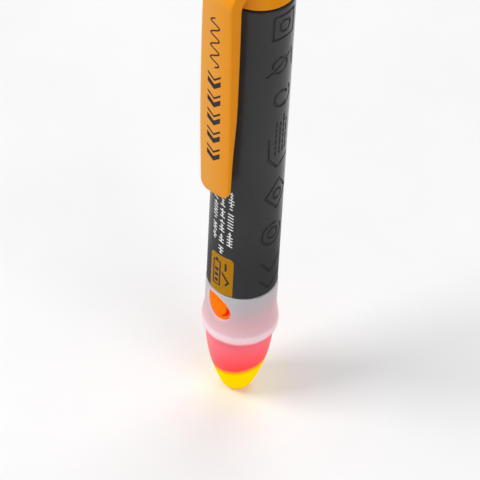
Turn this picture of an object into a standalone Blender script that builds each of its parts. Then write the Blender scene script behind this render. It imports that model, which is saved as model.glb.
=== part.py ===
"""Non contact voltage tester: a pen with a glowing tip, a check button, two cells and a clip.

Row frame: the origin is the middle of the flat at the tip, +Z runs along the pen to its cap,
and the clip and the button face -Y.
"""

import math

import bmesh
import bpy
from mathutils import Matrix, Vector

MM = 0.001
GAP = 0.3 * MM
SEAM = 0.2 * MM
TURN_STEPS = 48

# Pen
TOTAL_LENGTH = 148.8 * MM
BARREL_RADIUS = 8.8 * MM
BARREL_BORE = 7.2 * MM
EDGE = 0.3 * MM

# Nose: a rounded tip, an arched cone, a guard bead and a collar
TIP_FLAT = 1.0 * MM
TIP_ROUND = 3.5 * MM
TIP_ANGLE = math.radians(23.5)
CONE_ARC = 52.7 * MM
NECK_ANGLE = math.radians(3)
NOSE_WALL = 1.5 * MM
BEAD_RADIUS = 9.7 * MM
BEAD_Z = 24.3 * MM
BEAD_BELOW = 2.4 * MM
BEAD_ABOVE = 6.3 * MM
COLLAR_RADIUS = 8.93 * MM
COLLAR_TOP = 38.05 * MM
COLLAR_BORE = 7.3 * MM
SPIGOT_RADIUS = BARREL_BORE - SEAM
SPIGOT_BORE = 5.9 * MM
SPIGOT_TOP = 45.0 * MM

# Barrel and cap
BARREL_BOTTOM = COLLAR_TOP + SEAM
BARREL_TOP = 127.9 * MM
CAP_BOTTOM = 128.6 * MM
CAP_BORE = 6.2 * MM
CAP_SKIRT_Z = 123.0 * MM
CAP_CEILING = 146.6 * MM
CAP_ROUND_Z = 143.8 * MM
CAP_END_RADIUS = 4.2 * MM

# Clip: distances from the pen's axis along -Y
CLIP_ROOT_HALF = 4.4 * MM
CLIP_WAIST_HALF = 4.7 * MM
CLIP_WAIST_Z = 100.0 * MM
CLIP_END_HALF = 4.28 * MM
CLIP_REACH = 14.7 * MM
CLIP_INNER_REACH = 10.9 * MM
CLIP_END_INNER = 11.6 * MM
CLIP_THIN_Z = (85.0 * MM, 102.0 * MM)
CLIP_END_Z = 73.6 * MM
CLIP_BEND_Z = 132.3 * MM
CLIP_BEND = 3.5 * MM
CLIP_UNDER_Z = 132.65 * MM
CLIP_UNDER_BEND = 2.75 * MM
CLIP_ROOT_REACH = 7.7 * MM
CLIP_HINGE_Z = 134.8 * MM
CLIP_END_RISE = 3.4 * MM
CLIP_END_POWER = 2.3
CLIP_PAD_HALF = 2.6 * MM
CLIP_PAD_REACH = BARREL_RADIUS + GAP
CLIP_PAD_Z = (77.0 * MM, 84.0 * MM)

# Check button: a drop whose point leans up to the left
DROP_CENTRE = (-0.4 * MM, 33.7 * MM)
DROP_LEAN = math.radians(129)
DROP_HALF_LENGTH = 4.17 * MM
DROP_HALF_WIDTH = 3.23 * MM
DROP_POINT = 0.4
BUTTON_FRONT = COLLAR_RADIUS + 0.2 * MM
FLANGE_X = 3.7 * MM
FLANGE_Z = (29.3 * MM, 36.5 * MM)
FLANGE_Y = (-6.1 * MM, -5.3 * MM)
SWITCH_Z = 33.2 * MM

# Circuit board
BOARD_HALF = 0.5 * MM
BOARD_WIDE = 5.0 * MM
BOARD_NARROW = 3.2 * MM
BOARD_Z = (14.0 * MM, 48.4 * MM)
BOARD_SHOULDER_Z = 17.5 * MM
PART_LIFT = BOARD_HALF + SEAM

# Cells: AAA size, end to end
CELL_RADIUS = 5.25 * MM
CELL_LENGTH = 44.5 * MM
CELL_NUB = 1.0 * MM
CELL_NUB_RADIUS = 1.9 * MM
CELL_FRONT_Z = 51.4 * MM
CELL_REAR_Z = CELL_FRONT_Z + CELL_LENGTH + GAP

# Chassis and contacts
BULKHEAD_Z = (48.8 * MM, 50.3 * MM)
CHASSIS_RADIUS = 6.9 * MM
TROUGH_BORE = 5.6 * MM
TROUGH_TOP = 122.0 * MM
STRIP_HALF = 1.2 * MM
STRIP_THICK = 0.3 * MM
STRIP_Y = -6.45 * MM
STRIP_Z = (46.3 * MM, 121.8 * MM)
LEG_Y = -5.85 * MM
LEG_BOTTOM = 119.8 * MM
CAP_PLATE_Z = (145.9 * MM, 146.3 * MM)


# ---------------------------------------------------------------- tools

def clear_scene():
    for thing in list(bpy.data.objects):
        bpy.data.objects.remove(thing, do_unlink=True)


def new_collection(name):
    group = bpy.data.collections.new(name)
    bpy.context.scene.collection.children.link(group)
    return group


def plain_material(name, colour, roughness, metallic=0.0):
    made = bpy.data.materials.new(name)
    made.use_nodes = True
    shader = made.node_tree.nodes["Principled BSDF"]
    shader.inputs["Base Color"].default_value = (*colour, 1.0)
    shader.inputs["Roughness"].default_value = roughness
    shader.inputs["Metallic"].default_value = metallic
    return made


def place(name, mesh, material=None, cutter=False):
    """Links a mesh as a named piece, or as a cutter that is only a guide."""
    thing = bpy.data.objects.new(name, mesh)
    (CUTTERS if cutter else PARTS).objects.link(thing)
    if cutter:
        thing.hide_render = True
        thing.display_type = "WIRE"
    if material:
        mesh.materials.append(material)
    return thing


def turned(name, profile, material=None, cutter=False, closed=False, steps=TURN_STEPS):
    """Turns (radius, z) points about Z. They run down the outer side."""
    mesh = bpy.data.meshes.new(name)
    edges = [(i, i + 1) for i in range(len(profile) - 1)]
    if closed:
        edges.append((len(profile) - 1, 0))
    mesh.from_pydata([(r, 0, z) for r, z in profile], edges, [])
    thing = place(name, mesh, material, cutter)
    screw = thing.modifiers.new("turn", "SCREW")
    screw.steps = screw.render_steps = steps
    screw.use_merge_vertices = True
    screw.merge_threshold = 1e-6
    screw.use_smooth_shade = True
    return thing


def block(name, low, high, material=None, cutter=False, bevel=0.0):
    """A box between two corners, with its edges rounded where bevel is given."""
    shape = bmesh.new()
    bmesh.ops.create_cube(shape, size=1)
    size = Vector(high) - Vector(low)
    middle = (Vector(high) + Vector(low)) / 2
    bmesh.ops.transform(shape, matrix=Matrix.Translation(middle) @ Matrix.Diagonal((*size, 1)),
                        verts=shape.verts)
    mesh = bpy.data.meshes.new(name)
    shape.to_mesh(mesh)
    shape.free()
    thing = place(name, mesh, material, cutter)
    if bevel:
        soften(thing, bevel, 2)
    return thing


def rod(name, radius, start, end, material=None, cutter=False, sides=32):
    """A cylinder between two points."""
    start, end = Vector(start), Vector(end)
    shape = bmesh.new()
    bmesh.ops.create_cone(shape, cap_ends=True, segments=sides, radius1=radius,
                          radius2=radius, depth=(end - start).length)
    turn = (end - start).to_track_quat("Z", "Y").to_matrix().to_4x4()
    bmesh.ops.transform(shape, matrix=Matrix.Translation((start + end) / 2) @ turn,
                        verts=shape.verts)
    mesh = bpy.data.meshes.new(name)
    shape.to_mesh(mesh)
    shape.free()
    return place(name, mesh, material, cutter)


FACING_FRONT = Matrix(((1, 0, 0), (0, 0, -1), (0, 1, 0)))
FACING_SIDE = Matrix(((0, 0, 1), (1, 0, 0), (0, 1, 0)))


def plate(name, outline, half, middle, facing, material=None, cutter=False):
    """A flat outline given thickness. It stands in XZ (FACING_FRONT) or in YZ (FACING_SIDE)."""
    curve = bpy.data.curves.new(name, "CURVE")
    curve.dimensions = "2D"
    curve.fill_mode = "BOTH"
    curve.extrude = half
    spline = curve.splines.new("POLY")
    spline.points.add(len(outline) - 1)
    for point, (across, up) in zip(spline.points, outline):
        point.co = (across, up, 0, 1)
    spline.use_cyclic_u = True
    drawn = bpy.data.objects.new(name + "_outline", curve)
    PARTS.objects.link(drawn)
    drawn.matrix_world = Matrix.Translation(middle) @ facing.to_4x4()
    return as_mesh(drawn, name, material, cutter)


def as_mesh(drawn, name, material, cutter=False):
    """Replaces a curve by its mesh, with the caps welded to the sides."""
    bpy.context.view_layer.update()
    seen = drawn.evaluated_get(bpy.context.evaluated_depsgraph_get())
    mesh = bpy.data.meshes.new_from_object(seen)
    mesh.name = name
    shape = bmesh.new()
    shape.from_mesh(mesh)
    bmesh.ops.remove_doubles(shape, verts=shape.verts, dist=1e-7)
    bmesh.ops.recalc_face_normals(shape, faces=shape.faces)
    shape.to_mesh(mesh)
    shape.free()
    thing = place(name, mesh, material, cutter)
    thing.matrix_world = drawn.matrix_world
    bpy.data.objects.remove(drawn, do_unlink=True)
    return thing


def wire(name, points, radius, material):
    """A round wire along the points, with closed ends."""
    curve = bpy.data.curves.new(name, "CURVE")
    curve.dimensions = "3D"
    curve.bevel_depth = radius
    curve.bevel_resolution = 2
    curve.use_fill_caps = True
    spline = curve.splines.new("POLY")
    spline.points.add(len(points) - 1)
    for point, co in zip(spline.points, points):
        point.co = (*co, 1)
    thing = bpy.data.objects.new(name, curve)
    PARTS.objects.link(thing)
    curve.materials.append(material)
    return thing


def combine(thing, other, operation):
    joined = thing.modifiers.new(other.name, "BOOLEAN")
    joined.operation = operation
    joined.solver = "EXACT"
    joined.object = other
    return thing


def soften(thing, width, segments=2, angle=math.radians(40)):
    rounded = thing.modifiers.new("rounded", "BEVEL")
    rounded.width = width
    rounded.segments = segments
    rounded.limit_method = "ANGLE"
    rounded.angle_limit = angle
    return thing


def hinge_point(name, position, *things):
    """An empty on a joint's axis that carries the moving pieces."""
    empty = bpy.data.objects.new(name, None)
    empty.empty_display_size = 5 * MM
    empty.location = position
    PARTS.objects.link(empty)
    for thing in things:
        thing.parent = empty
        thing.matrix_parent_inverse = Matrix.Translation(-Vector(position))
    return empty


def arc(centre, radius, start, end, count):
    """Points on an arc. The angles are in radians, anticlockwise from the first axis."""
    steps = [start + (end - start) * i / (count - 1) for i in range(count)]
    return [(centre[0] + radius * math.cos(a), centre[1] + radius * math.sin(a)) for a in steps]


# ---------------------------------------------------------------- shapes

def tip_and_cone():
    """(radius, z) from the flat at the tip up the rounded tip and the arched cone."""
    points = []
    r, z = TIP_FLAT, 0.0
    turns = ((TIP_ROUND, math.pi / 2, TIP_ANGLE, 7), (CONE_ARC, TIP_ANGLE, NECK_ANGLE, 9))
    for radius, start, end, count in turns:
        for i in range(count):
            angle = start + (end - start) * i / (count - 1)
            points.append((r + radius * (math.cos(angle) - math.cos(start)),
                           z + radius * (math.sin(start) - math.sin(angle))))
        r, z = points.pop()
    return points + [(r, z)]


def bead_and_collar():
    """(radius, z) of the guard bead: a round underside and a long fade into the collar."""
    neck = tip_and_cone()[-1][0]
    under = [(neck + (BEAD_RADIUS - neck) * math.sin(a), BEAD_Z - BEAD_BELOW * math.cos(a))
             for a in (math.pi / 2 * i / 5 for i in range(6))]
    fade = [(COLLAR_RADIUS + (BEAD_RADIUS - COLLAR_RADIUS) * (1 + math.cos(a)) / 2,
             BEAD_Z + BEAD_ABOVE * a / math.pi)
            for a in (math.pi * i / 6 for i in range(1, 7))]
    rim = [(COLLAR_RADIUS, COLLAR_TOP - EDGE), (COLLAR_RADIUS - EDGE, COLLAR_TOP)]
    return under + fade + rim


def drop_outline(clearance=0.0):
    """The button's outline in XZ: an ellipse whose sides draw in towards its point."""
    points = []
    for i in range(36):
        turn = 2 * math.pi * (i + 0.5) / 36
        along = (DROP_HALF_LENGTH + clearance) * math.cos(turn)
        across = (DROP_HALF_WIDTH + clearance) * math.sin(turn) * math.sin(turn / 2) ** DROP_POINT
        points.append((DROP_CENTRE[0] + along * math.cos(DROP_LEAN) - across * math.sin(DROP_LEAN),
                       DROP_CENTRE[1] + along * math.sin(DROP_LEAN) + across * math.cos(DROP_LEAN)))
    return points


def clip_reach(z):
    """How far the clip's outer face stands from the axis: it bows in towards its end."""
    below = (CLIP_BEND_Z - z) / MM
    return CLIP_REACH - (0.0245 * below + 0.00017 * below * below) * MM


def clip_side():
    """The clip's side view in YZ: a strap that thins towards its end, and a thick shoulder."""
    heights = [CLIP_END_Z + (CLIP_BEND_Z - CLIP_END_Z) * i / 8 for i in range(9)]
    outer = [(-clip_reach(z), z) for z in heights]
    bend = (-(CLIP_REACH - CLIP_BEND), CLIP_BEND_Z)
    shoulder = arc(bend, CLIP_BEND, math.pi, math.pi / 2, 9)[1:]
    root = [(-CLIP_ROOT_REACH, CLIP_BEND_Z + CLIP_BEND), (-CLIP_ROOT_REACH, CLIP_UNDER_Z)]
    under = arc((-(CLIP_INNER_REACH - CLIP_UNDER_BEND), CLIP_UNDER_Z - CLIP_UNDER_BEND),
                CLIP_UNDER_BEND, math.pi / 2, math.pi, 6)
    inner = [(-CLIP_INNER_REACH, CLIP_THIN_Z[1]), (-CLIP_END_INNER, CLIP_THIN_Z[0]),
             (-CLIP_END_INNER, CLIP_END_Z)]
    return outer + shoulder + root + under + inner


def clip_half_width(z):
    """Half of the clip's width: it swells a little at its waist."""
    if z > CLIP_WAIST_Z:
        away, half = (z - CLIP_WAIST_Z) / (CLIP_BEND_Z - CLIP_WAIST_Z), CLIP_ROOT_HALF
    else:
        away, half = (CLIP_WAIST_Z - z) / (CLIP_WAIST_Z - CLIP_END_Z), CLIP_END_HALF
    return CLIP_WAIST_HALF - (CLIP_WAIST_HALF - half) * min(away * away, 1)


def clip_front():
    """The clip's front view in XZ, with its rounded end. It runs past the shoulder."""
    end_top = CLIP_END_Z + CLIP_END_RISE
    end = [(clip_half_width(end_top) * math.sin(a) ** (2 / CLIP_END_POWER),
            end_top - CLIP_END_RISE * math.cos(a) ** (2 / CLIP_END_POWER))
           for a in (math.pi / 2 * i / 10 for i in range(1, 11))]
    heights = [end_top + 9 * MM * i for i in range(1, 7)] + [TOTAL_LENGTH]
    right = end + [(clip_half_width(z), z) for z in heights]
    return [(0, CLIP_END_Z)] + right + [(-x, z) for x, z in reversed(right)]


# ---------------------------------------------------------------- outer pieces

def make_nose(material):
    cone = tip_and_cone()
    outer = cone + bead_and_collar()
    outer += [(SPIGOT_RADIUS, COLLAR_TOP), (SPIGOT_RADIUS, SPIGOT_TOP)]
    inner = [(0, NOSE_WALL)] + [(r - NOSE_WALL, z) for r, z in cone if z > 1.5 * NOSE_WALL]
    inner += [(COLLAR_BORE, BEAD_Z), (COLLAR_BORE, COLLAR_TOP - 4 * GAP),
              (SPIGOT_BORE, COLLAR_TOP - 4 * GAP), (SPIGOT_BORE, SPIGOT_TOP)]
    nose = turned("nose_shell", inner + outer[::-1] + [(0, 0)], material)
    hole = plate("button_hole", drop_outline(SEAM), 3.5 * MM, (0, -8.7 * MM, 0),
                 FACING_FRONT, cutter=True)
    return combine(nose, hole, "DIFFERENCE")


def make_barrel(material):
    low, high = BARREL_BOTTOM, BARREL_TOP
    profile = [(BARREL_BORE, high), (BARREL_RADIUS - EDGE, high), (BARREL_RADIUS, high - EDGE),
               (BARREL_RADIUS, low + EDGE), (BARREL_RADIUS - EDGE, low), (BARREL_BORE, low)]
    return turned("barrel", profile, material, closed=True)


def make_cap(material):
    rise = TOTAL_LENGTH - CAP_ROUND_Z
    spread = BARREL_RADIUS - 0.1 * MM - CAP_END_RADIUS
    dome = [(CAP_END_RADIUS + spread * math.sin(a), CAP_ROUND_Z + rise * math.cos(a))
            for a in (math.pi / 2 * i / 8 for i in range(9))]
    skirt = BARREL_BORE - SEAM
    profile = [(0, TOTAL_LENGTH)] + dome
    profile += [(BARREL_RADIUS, CAP_BOTTOM + EDGE), (BARREL_RADIUS - EDGE, CAP_BOTTOM),
                (skirt, CAP_BOTTOM), (skirt, CAP_SKIRT_Z + EDGE), (skirt - EDGE, CAP_SKIRT_Z),
                (CAP_BORE, CAP_SKIRT_Z), (CAP_BORE, CAP_CEILING), (0, CAP_CEILING)]
    cap = turned("rear_cap", profile, material)
    half = CLIP_ROOT_HALF + GAP
    pocket = block("clip_pocket", (-half, -10 * MM, CLIP_UNDER_Z - GAP),
                   (half, -CLIP_ROOT_REACH + GAP, CLIP_BEND_Z + CLIP_BEND + GAP), cutter=True)
    return combine(cap, pocket, "DIFFERENCE")


def make_clip(material):
    clip = plate("pocket_clip", clip_side(), CLIP_WAIST_HALF + MM, (0, 0, 0), FACING_SIDE, material)
    front = plate("clip_outline", clip_front(), 8 * MM, (0, -11 * MM, 0), FACING_FRONT,
                  cutter=True)
    combine(clip, front, "INTERSECT")
    soften(clip, 0.45 * MM, 2)
    pad = block("clip_pad", (-CLIP_PAD_HALF, -CLIP_END_INNER - 0.4 * MM, CLIP_PAD_Z[0]),
                (CLIP_PAD_HALF, -CLIP_PAD_REACH, CLIP_PAD_Z[1]), cutter=True, bevel=0.8 * MM)
    return combine(clip, pad, "UNION")


def make_button(material):
    button = plate("check_button", drop_outline(), 2.3 * MM, (0, -8.2 * MM, 0), FACING_FRONT,
                   material)
    curve = rod("button_front", BUTTON_FRONT, (0, 0, 25 * MM), (0, 0, 42 * MM), cutter=True,
                sides=96)
    combine(button, curve, "INTERSECT")
    soften(button, 0.3 * MM, 2)
    flange = block("button_flange", (-FLANGE_X, FLANGE_Y[0], FLANGE_Z[0]),
                   (FLANGE_X, FLANGE_Y[1], FLANGE_Z[1]), cutter=True)
    return combine(button, flange, "UNION")


# ---------------------------------------------------------------- board and its parts

def make_board(material):
    low, high = BOARD_Z
    half = [(BOARD_NARROW, low), (BOARD_WIDE, BOARD_SHOULDER_Z), (BOARD_WIDE, high)]
    outline = half + [(-x, z) for x, z in reversed(half)]
    return plate("circuit_board", outline, BOARD_HALF, (0, 0, 0), FACING_FRONT, material)


def make_switch(body_material, stem_material):
    half, top = 2.3 * MM, 3.9 * MM
    body = block("switch_body", (-half, -top, SWITCH_Z - half), (half, -PART_LIFT, SWITCH_Z + half),
                 body_material)
    well = rod("switch_well", 1.3 * MM, (0, -2.8 * MM, SWITCH_Z), (0, -6 * MM, SWITCH_Z),
               cutter=True)
    combine(body, well, "DIFFERENCE")
    stem_top = FLANGE_Y[1] + SEAM
    return body, rod("switch_stem", 1.0 * MM, (0, -3.5 * MM, SWITCH_Z), (0, stem_top, SWITCH_Z),
                     stem_material)


def make_chips(material):
    """The two chips lie on the board's +Y face."""
    sizes = {"controller_chip": (20.0, 8.6), "amplifier_chip": (30.4, 5.0)}
    half, high = 2.0 * MM, 1.5 * MM
    return [block(name, (-half, PART_LIFT, z * MM), (half, PART_LIFT + high, (z + length) * MM),
                  material, bevel=0.15 * MM) for name, (z, length) in sizes.items()]


def make_sounder(material):
    half, low, high = 4.5 * MM, PART_LIFT, PART_LIFT + 2 * MM
    bottom = 37.3 * MM
    sounder = block("sounder", (-half, low, bottom), (half, high, bottom + 2 * half), material,
                    bevel=0.2 * MM)
    port = rod("sound_port", 1.0 * MM, (0, high - MM, bottom + half), (0, high + MM, bottom + half),
               cutter=True)
    return combine(sounder, port, "DIFFERENCE")


def make_small_parts(resistor_material, capacitor_material):
    """A row of resistors and a row of capacitors on the board's -Y face."""
    made = []
    rows = (("resistor", 4, -2.6, 19.0, 2.6, 0.6, resistor_material),
            ("capacitor", 3, 2.4, 19.4, 3.2, 1.0, capacitor_material))
    for kind, count, x, z, pitch, high, material in rows:
        for i in range(count):
            middle = (x * MM, (z + pitch * i) * MM)
            low = (middle[0] - MM, -PART_LIFT - high * MM, middle[1] - 0.625 * MM)
            top = (middle[0] + MM, -PART_LIFT, middle[1] + 0.625 * MM)
            made.append(block(f"{kind}_{i + 1}", low, top, material))
    return made


def make_led(lens_material, lead_material):
    radius, flange, top = 1.5 * MM, 1.9 * MM, 12.2 * MM
    dome_z = 8.6 * MM
    dome = [(r, z) for r, z in arc((0, dome_z), radius, 0, -math.pi / 2, 6)]
    profile = [(0, top), (flange, top), (flange, top - MM), (radius, top - MM)] + dome
    profile[-1] = (0, dome_z - radius)
    led = turned("tip_led", profile, lens_material, steps=24)
    leads = []
    for i, side in enumerate((-1, 1)):
        near, far = side * (BOARD_HALF + GAP), side * (BOARD_HALF + GAP + 0.5 * MM)
        leads.append(block(f"led_lead_{i + 1}", (-0.25 * MM, min(near, far), top + GAP),
                           (0.25 * MM, max(near, far), top + 4.3 * MM), lead_material))
    return [led] + leads


def make_sensor_coil(material):
    """A coil at the tip whose wire runs back to the board's -Y face."""
    turns, per_turn, radius, start = 4, 12, 1.6 * MM, 3.0 * MM
    pitch = 0.8 * MM
    points = []
    for i in range(turns * per_turn + 1):
        angle = 2 * math.pi * i / per_turn
        points.append((radius * math.cos(angle), radius * math.sin(angle),
                       start + pitch * i / per_turn))
    tail_x, tail_y = 2.9 * MM, -(BOARD_HALF + GAP + 0.2 * MM)
    points += [(2.3 * MM, 0.1 * MM, 6.4 * MM), (tail_x, tail_y / 2, 7.2 * MM),
               (tail_x, tail_y, 9 * MM), (tail_x, tail_y, 17 * MM)]
    return wire("sensor_coil", points, 0.2 * MM, material)


# ---------------------------------------------------------------- power

def make_chassis(material):
    low, high = BULKHEAD_Z
    profile = [(TROUGH_BORE, TROUGH_TOP), (CHASSIS_RADIUS, TROUGH_TOP), (CHASSIS_RADIUS, low),
               (0, low), (0, high), (TROUGH_BORE, high)]
    mesh_profile = profile[4:] + profile[:4]
    chassis = turned("chassis", mesh_profile, material)
    open_side = block("trough_side", (-8 * MM, -8 * MM, high), (8 * MM, GAP, TROUGH_TOP + MM),
                      cutter=True)
    strip_notch = block("strip_notch", (-1.5 * MM, -8 * MM, low - MM),
                        (1.5 * MM, -5.9 * MM, high + MM), cutter=True)
    tab_slot = block("tab_slot", (-1.3 * MM, 1.2 * MM, low - MM), (1.3 * MM, 2.2 * MM, high + MM),
                     cutter=True)
    for cutter in (open_side, strip_notch, tab_slot):
        combine(chassis, cutter, "DIFFERENCE")
    for side in (-1, 1):
        inner, outer = side * (BOARD_WIDE + SEAM), side * 6.0 * MM
        guide = block(f"board_guide_{'left' if side < 0 else 'right'}",
                      (min(inner, outer), -1.2 * MM, 45.4 * MM),
                      (max(inner, outer), 1.2 * MM, low + 0.5 * MM), cutter=True)
        combine(chassis, guide, "UNION")
    return chassis


def make_front_contact(material):
    contact = rod("front_contact", 3.2 * MM, (0, 0, BULKHEAD_Z[1] + GAP),
                  (0, 0, CELL_FRONT_Z - GAP), material)
    tab = block("contact_tab", (-MM, 1.5 * MM, 46.9 * MM), (MM, 1.9 * MM, 50.9 * MM), cutter=True)
    return combine(contact, tab, "UNION")


def make_return_strip(material):
    low, high = STRIP_Z
    back = STRIP_Y + STRIP_THICK
    side = [(STRIP_Y, low), (STRIP_Y, high), (back, high), (back, low + 0.4 * MM),
            (-PART_LIFT, low + 0.4 * MM), (-PART_LIFT, low)]
    return plate("return_strip", side, STRIP_HALF, (0, 0, 0), FACING_SIDE, material)


def make_cap_contact(material):
    low, high = CAP_PLATE_Z
    plate_disc = rod("cap_contact", 5.0 * MM, (0, 0, low), (0, 0, high), material)
    side = [(LEG_Y, LEG_BOTTOM), (LEG_Y, high), (-4 * MM, high), (-4 * MM, low),
            (LEG_Y + STRIP_THICK, low), (LEG_Y + STRIP_THICK, LEG_BOTTOM)]
    leg = plate("cap_contact_leg", side, STRIP_HALF, (0, 0, 0), FACING_SIDE, cutter=True)
    return combine(plate_disc, leg, "UNION")


def make_spring(material):
    """A tapered coil between the rear cell and the cap's contact."""
    turns, per_turn, thick = 4, 16, 0.3 * MM
    low = CELL_REAR_Z + CELL_LENGTH + GAP + thick
    high = CAP_PLATE_Z[0] - GAP - thick
    count = turns * per_turn
    points = []
    for i in range(count + 1):
        share, angle = i / count, 2 * math.pi * i / per_turn
        radius = (2.4 + 1.6 * share) * MM
        points.append((radius * math.cos(angle), radius * math.sin(angle),
                       low + (high - low) * share))
    return wire("battery_spring", points, thick, material)


def make_cell(name, bottom, material):
    """An AAA cell with its positive nub towards the tip."""
    top = bottom + CELL_LENGTH
    shoulder = bottom + CELL_NUB
    round_edge = 0.5 * MM
    profile = [(0, top), (CELL_RADIUS - round_edge, top), (CELL_RADIUS, top - round_edge),
               (CELL_RADIUS, shoulder + round_edge), (CELL_RADIUS - round_edge, shoulder),
               (CELL_NUB_RADIUS, shoulder), (CELL_NUB_RADIUS, bottom), (0, bottom)]
    return turned(name, profile, material, steps=32)


# ---------------------------------------------------------------- the tester

def build():
    white = plain_material("milky_plastic", (0.80, 0.72, 0.74), 0.35)
    grey = plain_material("dark_grey_plastic", (0.045, 0.043, 0.046), 0.45)
    yellow = plain_material("yellow_plastic", (0.78, 0.30, 0.02), 0.35)
    orange = plain_material("orange_plastic", (0.90, 0.19, 0.01), 0.35)
    black = plain_material("black_epoxy", (0.02, 0.02, 0.02), 0.6)
    green = plain_material("board_green", (0.02, 0.16, 0.06), 0.4)
    tan = plain_material("capacitor_tan", (0.42, 0.27, 0.15), 0.5)
    red = plain_material("red_lens", (0.7, 0.02, 0.02), 0.15)
    tin = plain_material("tinned_steel", (0.62, 0.61, 0.58), 0.3, 1.0)
    copper = plain_material("copper_wire", (0.75, 0.36, 0.2), 0.3, 1.0)
    ivory = plain_material("chassis_plastic", (0.62, 0.60, 0.55), 0.5)
    sleeve = plain_material("cell_sleeve", (0.10, 0.22, 0.32), 0.35)

    make_nose(white)
    make_barrel(grey)
    cap = make_cap(yellow)
    clip = make_clip(yellow)
    button = make_button(orange)
    make_board(green)
    _, stem = make_switch(black, tin)
    make_chips(black)
    make_sounder(black)
    make_small_parts(black, tan)
    make_led(red, tin)
    make_sensor_coil(copper)
    make_chassis(ivory)
    make_front_contact(tin)
    make_return_strip(tin)
    cap_contact = make_cap_contact(tin)
    spring = make_spring(tin)
    cells = [make_cell("cell_front", CELL_FRONT_Z, sleeve), make_cell("cell_rear", CELL_REAR_Z, sleeve)]

    slide = hinge_point("cap_slide", (0, 0, CAP_BOTTOM), cap, cap_contact, spring)
    root = hinge_point("clip_hinge", (0, -BARREL_RADIUS, CLIP_HINGE_Z), clip)
    root.parent = slide
    root.matrix_parent_inverse = Matrix.Translation((0, 0, -CAP_BOTTOM))
    hinge_point("button_slide", (0, -COLLAR_RADIUS, DROP_CENTRE[1]), button, stem)
    hinge_point("cell_slide", (0, 0, CELL_FRONT_Z), *cells)


clear_scene()
PARTS = new_collection("voltage_tester")
CUTTERS = new_collection("cutters")
build()
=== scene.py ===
"""Looks of a non contact voltage tester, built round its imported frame.

Lengths are in metres in the row frame: the tip stands at the origin, +Z runs up the pen, and
the clip and the button face -Y. Angles round the pen start at -Y and grow towards +X.
"""

import math
import random

import bmesh
import bpy
import numpy as np
from mathutils import Matrix, Vector


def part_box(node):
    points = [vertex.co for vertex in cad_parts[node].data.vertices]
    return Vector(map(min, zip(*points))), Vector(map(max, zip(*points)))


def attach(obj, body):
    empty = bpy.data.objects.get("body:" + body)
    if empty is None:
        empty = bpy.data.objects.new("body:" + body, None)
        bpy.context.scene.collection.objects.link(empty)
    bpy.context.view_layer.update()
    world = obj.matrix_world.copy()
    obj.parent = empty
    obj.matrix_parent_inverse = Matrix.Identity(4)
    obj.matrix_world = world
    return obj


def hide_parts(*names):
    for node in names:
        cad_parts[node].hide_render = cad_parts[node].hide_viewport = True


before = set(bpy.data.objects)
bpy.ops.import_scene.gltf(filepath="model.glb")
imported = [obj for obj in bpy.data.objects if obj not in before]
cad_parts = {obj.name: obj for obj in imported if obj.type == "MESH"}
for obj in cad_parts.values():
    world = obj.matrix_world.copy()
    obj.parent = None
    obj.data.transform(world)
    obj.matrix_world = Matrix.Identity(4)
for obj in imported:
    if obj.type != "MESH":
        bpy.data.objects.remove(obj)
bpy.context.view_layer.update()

MM = 0.001
SEAM = 0.2 * MM
EDGE = 0.3 * MM

# Barrel, cap and nose, from the frame
BARREL_LOW, BARREL_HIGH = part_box("barrel")
BARREL_RADIUS = BARREL_HIGH.x
BARREL_BOTTOM, BARREL_TOP = BARREL_LOW.z, BARREL_HIGH.z
BARREL_BORE = 7.2 * MM
PARTING_ANGLES = (44.3, 224.3)
MARKED_ANGLES = (55, 130)
CAP_SKIRT_Z, CAP_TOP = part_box("rear_cap")[0].z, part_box("rear_cap")[1].z
CAP_BOTTOM = BARREL_TOP + 0.7 * MM
CAP_BORE = 6.2 * MM
CAP_CEILING = CAP_TOP - 2.2 * MM
CAP_ROUND_Z = CAP_TOP - 5.0 * MM
CAP_END_RADIUS = 4.2 * MM
CAP_TAPER = 0.1 * MM
SPIGOT_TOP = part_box("nose_shell")[1].z
BEAD_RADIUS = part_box("nose_shell")[1].x
COLLAR_TOP = BARREL_BOTTOM - SEAM

# Nose outline
TIP_FLAT = 1.0 * MM
TIP_ROUND = 3.5 * MM
TIP_ANGLE = math.radians(23.5)
CONE_ARC = 52.7 * MM
NECK_ANGLE = math.radians(3)
NOSE_WALL = 1.5 * MM
BEAD_Z = 24.3 * MM
BEAD_BELOW = 2.4 * MM
BEAD_ABOVE = 6.3 * MM
RIM = 0.13 * MM
RIM_ABOVE = 1.4 * MM
COLLAR_RADIUS = 8.93 * MM
COLLAR_BORE = 7.3 * MM
COLLAR_ROOF = 1.2 * MM
SPIGOT_BORE = 5.9 * MM

# Check button
DROP_CENTRE = (-0.4 * MM, 33.7 * MM)
DROP_LEAN = math.radians(129)
DROP_HALF_LENGTH = 4.17 * MM
DROP_HALF_WIDTH = 3.23 * MM
DROP_POINT = 0.4
DROP_GAP = 0.09 * MM

# Clip
CLIP_END_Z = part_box("pocket_clip")[0].z
CLIP_REACH = -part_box("pocket_clip")[0].y
CLIP_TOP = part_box("pocket_clip")[1].z
CLIP_ROOT_REACH = 7.5 * MM
CLIP_ROOT_HALF = 4.4 * MM
CLIP_ROOT_GAP = 0.12 * MM
CLIP_WAIST_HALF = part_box("pocket_clip")[1].x
CLIP_WAIST_Z = 100.0 * MM
CLIP_END_HALF = 4.28 * MM
CLIP_INNER_REACH = 10.9 * MM
CLIP_END_INNER = 11.6 * MM
CLIP_THIN_Z = (85.0 * MM, 102.0 * MM)
CLIP_BEND = 3.5 * MM
CLIP_BEND_Z = CLIP_TOP - CLIP_BEND
CLIP_UNDER_Z = 132.65 * MM
CLIP_UNDER_BEND = 2.75 * MM
CLIP_EDGE = 0.7 * MM
CLIP_END_RISE = 3.4 * MM
CLIP_END_POWER = 2.3
CLIP_PAD_HALF = 2.6 * MM
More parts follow.
